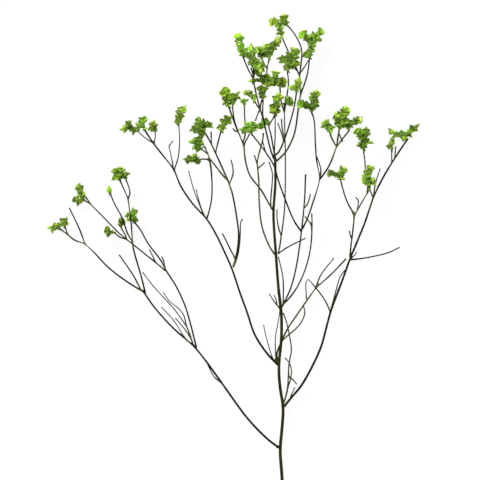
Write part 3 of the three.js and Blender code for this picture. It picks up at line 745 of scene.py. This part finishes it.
def model_pith(cut):
    """The pale disc of pith in the cut end of the main stem."""
    only()
    bpy.ops.mesh.primitive_cylinder_add(vertices=16, radius=0.6 * cut.radius, depth=0.5 * MM)
    pith = bpy.context.active_object
    pith.name = pith.data.name = "main_stem_pith"
    turn = cut.way.to_track_quat("Z", "Y").to_matrix().to_4x4()
    pith.data.transform(Matrix.Translation(cut.centre) @ turn)
    return pith


def scale_material(settings):
    """Dried scale: a brown papery leaf, darker at its foot."""
    material, shader = blank("dried papery scale")
    skin = add(material, "ShaderNodeUVMap")
    split = add(material, "ShaderNodeSeparateXYZ", ("Vector", skin.outputs["UV"]))
    tone = add(
        material, "ShaderNodeValToRGB", ("Fac", split.outputs["Y"]),
        stops=[(0.2, dim(settings.husk, 0.3)), (0.7, settings.husk)])
    fill(
        shader, ("Base Color", tone.outputs["Color"]), ("Roughness", 0.8),
        ("Specular IOR Level", 0.12))
    return material


CREASE = math.radians(-25)  # round a fork's foot the surface folds in at least this far
CREASE_WIDE = 4 * MM  # folded edges nearer than this belong to one fork
CREASE_LEAST = 4  # folded edges of a fork
ALONG = 6 * MM  # edges longer than this show the way a strand grows
UNDER_FORK = 1.5 * MM  # how far below a fork its scale is rooted
IN_AXIL = 1.2 * MM  # how far into its carrier the scale of a branch is rooted
UNDER_TIP = (1.4 * MM, 2.4 * MM)  # how far below a bare tip its two scales are rooted
CUT_STEM = 1.8 * MM  # only the cut end of the main stem is wider than this


def forks(mesh, base):
    """Where one strand leaves another inside a node: the middle of the crease round its foot, the
    way that both grow and the side that the fork is on. base is where the node starts."""
    creases = [e for e in mesh.edges if e.calc_face_angle_signed(0) < CREASE]
    groups = []
    for edge in creases:
        spot = (edge.verts[0].co + edge.verts[1].co) / 2
        near = [g for g in groups
                if any((spot - other).length < CREASE_WIDE for other, _ in g)]
        groups = [g for g in groups if g not in near]
        groups.append(sum(near, []) + [(spot, edge)])
    found = []
    for group in groups:
        if len(group) < CREASE_LEAST:
            continue
        middle = sum((spot for spot, _ in group), Vector()) / len(group)
        corners = {v for _, edge in group for v in edge.verts}
        side = sum((v.normal for v in corners), Vector())
        grow_way = Vector()
        for corner in corners:
            for edge in corner.link_edges:
                run = edge.other_vert(corner).co - corner.co
                if run.length > ALONG:
                    grow_way += run.normalized() * (1 if run.dot(middle - base) > 0 else -1)
        found.append((middle - grow_way.normalized() * UNDER_FORK, grow_way, side))
    return found


def scale_places(node, carriers, flowers, dice):
    """The foot, growing way, outer side and size of each scale of a stem node."""
    mesh = merged_mesh(node)
    places, base = [], None
    for end in flat_ends(mesh):
        skin, normal = carriers.find_nearest(end.centre, end.radius + AT_CARRIER)[:2]
        bloom = flowers.find_nearest(end.centre, AT_FLOWER)[0] is not None
        size = end.radius / MM
        if bloom:
            continue
        if end.radius > CUT_STEM:
            base = end.centre
        elif skin is not None:
            base = base or end.centre
            places.append((skin + end.way * IN_AXIL, -end.way, normal, size))
        else:
            side = end.way.orthogonal()
            side.rotate(Quaternion(end.way, dice.uniform(0, 2 * math.pi)))
            for under, outer in zip(UNDER_TIP, (side, -side)):
                places.append((end.centre - end.way * under, end.way, outer, 0.9 * size))
    base = base or min((v.co.copy() for v in mesh.verts), key=lambda spot: spot.y)
    places += [place + (1,) for place in forks(mesh, base)]
    mesh.free()
    return places


def pose_along(foot, way, side, size):
    """Places a model with its Z axis along way and its Y axis towards side."""
    z = way.normalized()
    y = (side - z * side.dot(z)).normalized()
    turn = Matrix((y.cross(z), y, z)).transposed().to_4x4()
    return Matrix.Translation(foot) @ turn @ Matrix.Scale(size, 4)


class STATICE_OT_scales(bpy.types.Operator):
    """Makes the small dried scales under the forks and round the bare tips, and the pith."""

    bl_idname = "statice.scales"
    bl_label = "Scales and pith"

    def execute(self, context):
        settings = context.scene.statice_scales
        dice = random.Random(SEED)
        model = model_leaf(
            "scale", settings.scale, near=0.95 * MM, far=1.9 * MM, wall=0.15 * MM)
        flowers = skins(HEADS)
        made = []
        for node in STEMS:
            carriers = skins([other for other in STEMS if other != node])
            copies = []
            for foot, way, side, size in scale_places(node, carriers, flowers, dice):
                pose = pose_along(foot, way, side, size * dice.uniform(0.8, 1.2))
                copies.append(mesh_copy(model, pose, node + "_scale"))
            made.append((joined(copies, node + "_scales"), node))
        mesh = merged_mesh("main_stem")
        pith = model_pith(max(flat_ends(mesh), key=lambda end: end.radius))
        mesh.free()
        papery = scale_material(settings)
        for scales, node in made:
            settle(scales, papery, SLOTS[node])
        settle(pith, pith_material(settings), SLOTS["main_stem"])
        bpy.data.objects.remove(model)
        return {"FINISHED"}


LOBES = 5  # lobes of a calyx, with a pleat between every two
COLUMNS = 3 * LOBES  # corners round a calyx
PLEAT = (0.94, -0.03)  # width and lift of the rim at a pleat
FLARED = 0.35  # share of its length where a calyx starts to spread into lobes
ASIDE = 0.9 * MM  # how far the mouth of a calyx leans off its axis
BUD = 0.5  # a calyx less open than this is a bud
# how far each form of calyx is open, and how flat it is pressed; the last form is the bud
FORMS = [(1, 0.9), (0.95, 0.65), (0.85, 0.8), (0.8, 0.5), (1.05, 0.75), (0.45, 0.75)]


def grow(lift, spread):
    """Extrudes the selected end of a tube upwards and scales it about the tube's axis."""
    bpy.ops.mesh.extrude_region_move(TRANSFORM_OT_translate={"value": (0, 0, lift)})
    bpy.ops.transform.resize(value=(spread, spread, 1), center_override=(0, 0, 0))


def model_calyx(name, settings, openness, squeeze, dice):
    """One papery calyx along +Z: a narrow tube, a pleated limb with five lobes and its inner wall.
    A bud is widest in its middle and drawn together at its tip."""
    length, wall = settings.length, settings.wall
    foot, wide = 0.5 * MM, settings.rim * openness
    # each ring is its height as a share of the length, and its radius
    outer = [(0.38, foot * 1.9), (0.74, wide * 0.76), (1, wide)]
    if openness < BUD:
        outer = [(0.22, wide * 0.7), (0.55, wide), (1, wide * 0.3)]
    inner = [(0.97, outer[-1][1] - wall), (0.8, wide * 0.25)]
    only()
    bpy.ops.mesh.primitive_circle_add(vertices=COLUMNS, radius=foot, fill_type="NGON")
    calyx = bpy.context.active_object
    calyx.name = calyx.data.name = name
    bpy.ops.object.mode_set(mode="EDIT")
    height, radius = 0, foot
    for share, size in outer + inner:
        grow(share * length - height, size / radius)
        height, radius = share * length, size
    mesh = bmesh.from_edit_mesh(calyx.data)
    skin_layer = mesh.loops.layers.uv.verify()
    for face in mesh.faces:
        middle = face.calc_center_median()
        axis = math.atan2(middle.y, middle.x)
        throat = len(face.verts) == COLUMNS and middle.z > 0
        inside = throat or face.normal.xy.dot(middle.xy) < 0
        for loop in face.loops:
            spot = loop.vert.co
            turn = math.atan2(spot.y, spot.x) - axis
            turn = (turn + math.pi) % (2 * math.pi) - math.pi + axis
            along = min(1, spot.z / length)
            # past 1 the colours run backwards, so the throat darkens within 0.4 of the length:
            # painted shade inside the funnel
            down = 1 + 2.6 * (1 - along) if inside else along
            loop[skin_layer].uv = (turn / (2 * math.pi) + 0.5, down)
    lobes = [(dice.uniform(0.9, 1.1), dice.uniform(-0.08, 0.08)) for _ in range(LOBES)]
    for corner in mesh.verts:
        column = round(math.atan2(corner.co.y, corner.co.x) / math.pi * COLUMNS / 2) % COLUMNS
        reach, lift = lobes[column // 3]
        if column % 3 == 0:
            reach, lift = PLEAT
        flare = max(0, corner.co.z / length - FLARED) / (1 - FLARED)
        corner.co.xy *= 1 + (reach - 1) * flare
        corner.co.z += lift * flare * length
        corner.co.y *= squeeze
        corner.co.x += ASIDE * flare**2
    bmesh.update_edit_mesh(calyx.data)
    bpy.ops.object.mode_set(mode="OBJECT")
    face_outward(calyx)
    return calyx


def model_spikelet(bract, calyx):
    """A calyx with the two bracts that hold it, the second smaller and nearly opposite."""
    first = mesh_copy(bract, Matrix.Identity(4), calyx.name)
    turned = Matrix.Rotation(math.radians(150), 4, "Z") @ Matrix.Scale(0.78, 4)
    second = mesh_copy(bract, turned, calyx.name)
    only(first, second, calyx)
    bpy.ops.object.join()
    return calyx


CARRIED = 1.2 * MM  # a head's corner this near a stem is where a stalk carries the head
KEPT_FREE = 2.2 * MM  # no calyx opens nearer than this to such a corner
JUTTING = 0.9 * MM  # an outer corner stands out of its neighbours by at least this
OUTWARD = 0.5  # and at least this straight, as a cosine
POINTED = 0.5  # a corner whose edges all lead back at least this steeply is the tip of a spike
TRIES = 6  # places that are tried for each that could fit


def mouths(piece, stalks, spacing, dice):
    """Where the calyces of a head open, and the feet of its stalks: the head's outer corners first,
    then places all over it that keep their distance. Each place comes with its outward way, and
    with whether it is the tip of a pointed spike."""
    mesh = opened(piece.data)
    mesh.normal_update()
    feet = [v.co.copy() for v in mesh.verts if stalks.find_nearest(v.co, CARRIED)[0] is not None]
    tries = []
    for corner in mesh.verts:
        ring = [edge.other_vert(corner).co for edge in corner.link_edges]
        way = corner.co - sum(ring, Vector()) / len(ring)
        if way.length > JUTTING and way.normalized().dot(corner.normal) > OUTWARD:
            back = min((corner.co - spot).normalized().dot(way.normalized()) for spot in ring)
            tries.append((corner.co.copy(), corner.normal.copy(), back > POINTED))
    faces = list(mesh.faces)
    areas = [face.calc_area() for face in faces]
    count = int(sum(areas) / spacing**2 * TRIES)
    for face in dice.choices(faces, areas, k=count):
        a, b, c = (v.co for v in face.verts[:3])
        u, v = sorted((dice.random(), dice.random()))
        tries.append((a * u + b * (v - u) + c * (1 - v), face.normal.copy(), False))
    mesh.free()
    found = []
    for place, way, pointed in tries:
        clear = all((place - other).length > spacing for other, _, _ in found)
        if clear and all((place - foot).length > KEPT_FREE for foot in feet):
            found.append((place, way, pointed))
    return found, feet


INSET = 0.4  # how far a mouth lies inside the outline of its head, as a share of its radius
THICK = 0.75  # thickness of a spike round its axis where calyces are full size, in rim radii
SIZES = (0.5, 1.02)  # smallest and largest calyx, as shares of the full size
ON_AXIS = 0.5 * MM  # a place this near the axis of its spike has no side
ROOTED = 0.8  # how far back along its spike a calyx is rooted, in its lengths


def calyx_pose(place, way, axes, feet, settings):
    """The foot of a calyx, the way it opens and its size: up and away from the axis of its spike,
    and smaller where the spike is thin."""
    out = place - axes.find_nearest(place)[0]
    size = min(SIZES[1], max(SIZES[0], out.length / (THICK * settings.rim)))
    out = out.normalized() if out.length > ON_AXIS else way
    stalk = min(feet, key=lambda spot: (spot - place).length)
    ahead = place - stalk
    ahead = (ahead - out * ahead.dot(out)).normalized()
    root = axes.find_nearest(place - ahead * settings.length * size * ROOTED)[0]
    lean = (place - root).normalized()
    inset = (out - lean * out.dot(lean)) * settings.rim * size * INSET
    return place - lean * settings.length * size - inset, lean, size


def calyx_material(settings):
    """Dried statice calyx: a thin dyed membrane, dark at its tube, partly painted shade, and darker
    in its throat with painted shade; green on the limb, with painted shade at its pleats; pale at
    the rim, partly a painted highlight; lighter and darker in patches of painted light and shade."""
    material, shader = blank("dyed papery calyx")
    skin = add(material, "ShaderNodeUVMap")
    split = add(material, "ShaderNodeSeparateXYZ", ("Vector", skin.outputs["UV"]))
    tone_and_shade = add(material, "ShaderNodeAttribute", attribute_name="tone_and_shade")
    warmth = add(material, "ShaderNodeAttribute", attribute_name="warmth")
    along = add(
        material, "ShaderNodeMath", (0, split.outputs["Y"]), (1, 1.0), operation="PINGPONG")
    foot, limb, edge = settings.foot, settings.limb, settings.edge
    # from the tube, darkened partly as painted shade, to the rim, lightened partly as a painted
    # highlight
    tone = add(
        material, "ShaderNodeValToRGB", ("Fac", along.outputs[0]),
        stops=[(0.1, foot), (0.5, limb), (0.82, limb), (1, edge)])
    # painted shade and highlight of the pleats: each lobe is lighter across its middle and darker
    # at the pleats between lobes
    pleat_phase = add(
        material, "ShaderNodeMath", (0, split.outputs["X"]), (1, 2 * math.pi * LOBES),
        operation="MULTIPLY")
    wave = add(material, "ShaderNodeMath", (0, pleat_phase.outputs[0]), operation="COSINE")
    pleat_shade = add(
        material, "ShaderNodeMapRange", ("Value", wave.outputs[0]),
        ("From Min", -1.0), ("From Max", 1.0), ("To Min", 0.86), ("To Max", 1.08))
    # lightness from each calyx's own varying tone and from patches of painted light and shade
    shade = add(
        material, "ShaderNodeMapRange",
        ("Value", tone_and_shade.outputs["Fac"]), ("To Min", 0.37), ("To Max", 1.6))
    both = add(
        material, "ShaderNodeMath", (0, pleat_shade.outputs[0]), (1, shade.outputs[0]),
        operation="MULTIPLY")
    hue = add(
        material, "ShaderNodeMapRange",
        ("Value", warmth.outputs["Fac"]), ("To Min", 0.512), ("To Max", 0.475))
    final = add(
        material, "ShaderNodeHueSaturation", ("Color", tone.outputs["Color"]),
        ("Value", both.outputs[0]), ("Hue", hue.outputs[0]))
    place = add(material, "ShaderNodeTexCoord")
    crinkle = add(
        material, "ShaderNodeTexNoise",
        ("Vector", place.outputs["Object"]), ("Scale", 1 / (1.6 * MM)), ("Detail", 3))
    relief = add(
        material, "ShaderNodeBump",
        ("Height", crinkle.outputs["Fac"]), ("Strength", 0.3), ("Distance", 0.4 * MM))
    fill(
        shader, ("Base Color", final.outputs["Color"]), ("Normal", relief.outputs["Normal"]),
        ("Roughness", 0.55), ("Specular IOR Level", 0.16))
    return material


def core_material(settings):
    """Spike axis under the calyces: dried green rachis and bracts, dull and dark."""
    material, shader = blank("dried spike axis")
    place = add(material, "ShaderNodeTexCoord")
    mottle = add(
        material, "ShaderNodeTexNoise",
        ("Vector", place.outputs["Object"]), ("Scale", 1 / (3 * MM)), ("Detail", 4))
    tone = add(
        material, "ShaderNodeValToRGB", ("Fac", mottle.outputs["Fac"]),
        stops=[(0.35, settings.foot), (0.65, dim(settings.limb, 0.65))])
    fill(shader, ("Base Color", tone.outputs["Color"]), ("Roughness", 0.8))
    return material


def paint_all(piece, name, value):
    """Gives every corner of a piece the same value of an attribute."""
    layer = piece.data.attributes.new(name, "FLOAT", "POINT")
    layer.data.foreach_set("value", [value] * len(piece.data.vertices))


DEEPEST = 10 * MM  # a head thicker than this is drawn in as if it were this thick
STALK_ROUND = 1.0 * MM  # a head's corner this near a stem stays on it


def draw_in(mesh, corners, rounds, share):
    """Smooths some corners of a closed mesh and moves them in by a share of its thickness there."""
    for _ in range(rounds):
        bmesh.ops.smooth_vert(
            mesh, verts=corners, factor=0.5, use_axis_x=True, use_axis_y=True, use_axis_z=True)
    mesh.normal_update()
    skin = BVHTree.FromBMesh(mesh)
    hits = [skin.ray_cast(v.co - v.normal * OFF_SKIN, -v.normal) for v in corners]
    for corner, hit in zip(corners, hits):
        corner.co -= corner.normal * min(hit[3] or 0, DEEPEST) * share


def shape_core(piece, stalks):
    """Turns a head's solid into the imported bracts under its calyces, except where a stalk carries
    it. Returns a search tree over the axes of its spikes."""
    mesh = opened(piece.data)
    free = [v for v in mesh.verts if stalks.find_nearest(v.co, STALK_ROUND)[0] is None]
    draw_in(mesh, free, rounds=1, share=0.06)
    mesh.to_mesh(piece.data)
    draw_in(mesh, free, rounds=1, share=0.24)
    draw_in(mesh, free, rounds=2, share=0.25)
    draw_in(mesh, free, rounds=3, share=0)
    axes = BVHTree.FromBMesh(mesh)
    mesh.free()
    round_and_crumple(piece, "packed bracts", 2, size=4 * MM, height=3.5 * MM)
    return axes


PATCH = 15 * MM  # size of the patches of painted light and shade over the heads
CONTRAST = 1.3  # how far a patch turns from the mean tone
FAR_OUT = 30 * MM  # calyces farther than this from a stalk are the lightest
# weights of what makes a calyx light: chance, its patch of painted light and shade, its head and
# its distance from a stalk
BY_CHANCE, BY_PATCH, BY_HEAD, BY_REACH = 0.1, 0.64, 0.1, 0.16


def place_calyces(node, calyces, core, stalks, settings, dice):
    """Copies calyces to all places on a head, and shapes the axes that carry them."""
    spots, feet = mouths(core, stalks, settings.spacing, dice)
    axes = shape_core(core, stalks)
    shade, warmth = dice.random(), dice.random()
    copies = []
    for place, way, pointed in spots:
        if pointed:
            size, lean = settings.bud, way
            foot = place - way * settings.length * size
        else:
            foot, lean, size = calyx_pose(place, way, axes, feet, settings)
        shut = pointed or node.endswith("_bud")
        model = calyces[-1] if shut else dice.choice(calyces[:-1])
        turn = lean.to_track_quat("Z", "Y").to_matrix().to_4x4()
        spin = Matrix.Rotation(dice.uniform(0, 2 * math.pi), 4, "Z")
        size *= dice.uniform(0.85, 1.1)
        pose = Matrix.Translation(foot) @ turn @ spin @ Matrix.Scale(size, 4)
        copy = mesh_copy(model, pose, node + "_calyx")
        reach = min(1, min((foot - spot).length for spot in feet) / FAR_OUT)
        # patches of painted light and shade, laid over the calyces' own varying tone
        patch = min(1, max(0, 0.5 + CONTRAST * noise.noise(place / PATCH)))
        tone_and_shade = BY_CHANCE * dice.random() + BY_PATCH * patch + BY_HEAD * shade + BY_REACH * reach
        paint_all(copy, "tone_and_shade", tone_and_shade)
        paint_all(copy, "warmth", 0.5 * dice.random() + 0.5 * warmth)
        copies.append(copy)
    return copies


class STATICE_OT_flowers(bpy.types.Operator):
    """Makes the flower heads: the axes of their spikes and the papery calyces around them."""

    bl_idname = "statice.flowers"
    bl_label = "Flower heads"

    def execute(self, context):
        settings = context.scene.statice_flowers
        papery, dull = calyx_material(settings), core_material(settings)
        dice = random.Random(SEED)
        bract = model_leaf(
            "bract", settings.bract, near=0.6 * MM, far=0.5 * settings.rim, wall=settings.wall)
        calyces = []
        for number, (openness, squeeze) in enumerate(FORMS):
            calyx = model_calyx("calyx_%d" % number, settings, openness, squeeze, dice)
            calyces.append(model_spikelet(bract, calyx))
        stalks = skins(STEMS)
        made = []
        for node in HEADS:
            core = merged_copy(node, node + "_axis")
            copies = place_calyces(node, calyces, core, stalks, settings, dice)
            flower = joined(copies, node + "_calyces")
            keep_off_table(core)
            made.append((node, flower, core))
        for node, flower, core in made:
            settle(flower, papery, "green_calyx", node)
            settle(core, dull, "green_calyx")
        for source in [bract] + calyces:
            bpy.data.objects.remove(source)
        return {"FINISHED"}


TABLE = 80  # width of the table, which passes the edges of the low views
PAPER = 0.06  # share of the light that the paper gives back, so its shadows stay faint
GLOW = 0.93  # the paper's own light, the rest of its white
SKY = 0.6  # strength of the light from all round
SOFTBOX = 4.2  # strength of the light from the upper left


class STATICE_OT_stage(bpy.types.Operator):
    """Makes the white table, the soft studio light and the camera that looks straight down."""

    bl_idname = "statice.stage"
    bl_label = "Stage"

    def execute(self, context):
        settings = context.scene.statice_stage
        low_end = frame_box[0].y
        middle = Vector((settings.aside, low_end + settings.cut_end + settings.field / 2, 0))
        only()
        bpy.ops.mesh.primitive_plane_add(size=TABLE)
        table = context.active_object
        table.name = "table"
        white, shader = blank("white paper table")
        fill(
            shader, ("Base Color", (PAPER, PAPER, PAPER, 1)), ("Roughness", 1),
            ("Specular IOR Level", 0), ("Emission Color", (1, 1, 1, 1)),
            ("Emission Strength", GLOW))
        table.data.materials.append(white)

        world = bpy.data.worlds.new("studio")
        context.scene.world = world
        world.use_nodes = True
        sky = world.node_tree.nodes["Background"]
        fill(sky, ("Color", (1, 1, 1, 1)), ("Strength", SKY))
        context.scene.view_settings.view_transform = "Standard"

        sun = bpy.data.lights.new("softbox", "SUN")
        sun.energy = SOFTBOX
        sun.angle = math.radians(25)
        lamp = bpy.data.objects.new("softbox", sun)
        lamp.rotation_euler = (math.radians(-38), math.radians(-32), 0)
        context.collection.objects.link(lamp)

        lens = bpy.data.cameras.new("camera")
        lens.sensor_width = 36
        lens.lens = lens.sensor_width * settings.height / settings.field
        lens.clip_end = 200
        camera = bpy.data.objects.new("camera", lens)
        camera.location = middle + Vector((0, 0, settings.height))
        context.collection.objects.link(camera)
        context.scene.camera = camera
        return {"FINISHED"}


class STATICE_PT_sidebar(bpy.types.Panel):
    """Lists the steps that build the plant, with their sizes and colours."""

    bl_idname = "STATICE_PT_sidebar"
    bl_label = "Dyed statice stem"
    bl_space_type = "VIEW_3D"
    bl_region_type = "UI"
    bl_category = "Statice"

    def draw(self, context):
        groups = [
            (STATICE_OT_stems, context.scene.statice_stems),
            (STATICE_OT_scales, context.scene.statice_scales),
            (STATICE_OT_flowers, context.scene.statice_flowers),
            (STATICE_OT_stage, context.scene.statice_stage),
        ]
        for operator, settings in groups:
            box = self.layout.box()
            for name in settings.__annotations__:
                box.prop(settings, name)
            box.operator(operator.bl_idname)


GROUPS = {
    "statice_stems": StaticeStemSettings,
    "statice_scales": StaticeScaleSettings,
    "statice_flowers": StaticeFlowerSettings,
    "statice_stage": StaticeStageSettings,
}
CLASSES = list(GROUPS.values()) + [
    STATICE_OT_stems,
    STATICE_OT_scales,
    STATICE_OT_flowers,
    STATICE_OT_stage,
    STATICE_PT_sidebar,
]


def register():
    for cls in CLASSES:
        bpy.utils.register_class(cls)
    for name, group in GROUPS.items():
        setattr(bpy.types.Scene, name, bpy.props.PointerProperty(type=group))


def unregister():
    for name in GROUPS:
        delattr(bpy.types.Scene, name)
    for cls in reversed(CLASSES):
        bpy.utils.unregister_class(cls)


def main():
    register()
    bpy.ops.statice.stems()
    bpy.ops.statice.scales()
    bpy.ops.statice.flowers()
    bpy.ops.statice.stage()


if __name__ == "__main__":
    main()
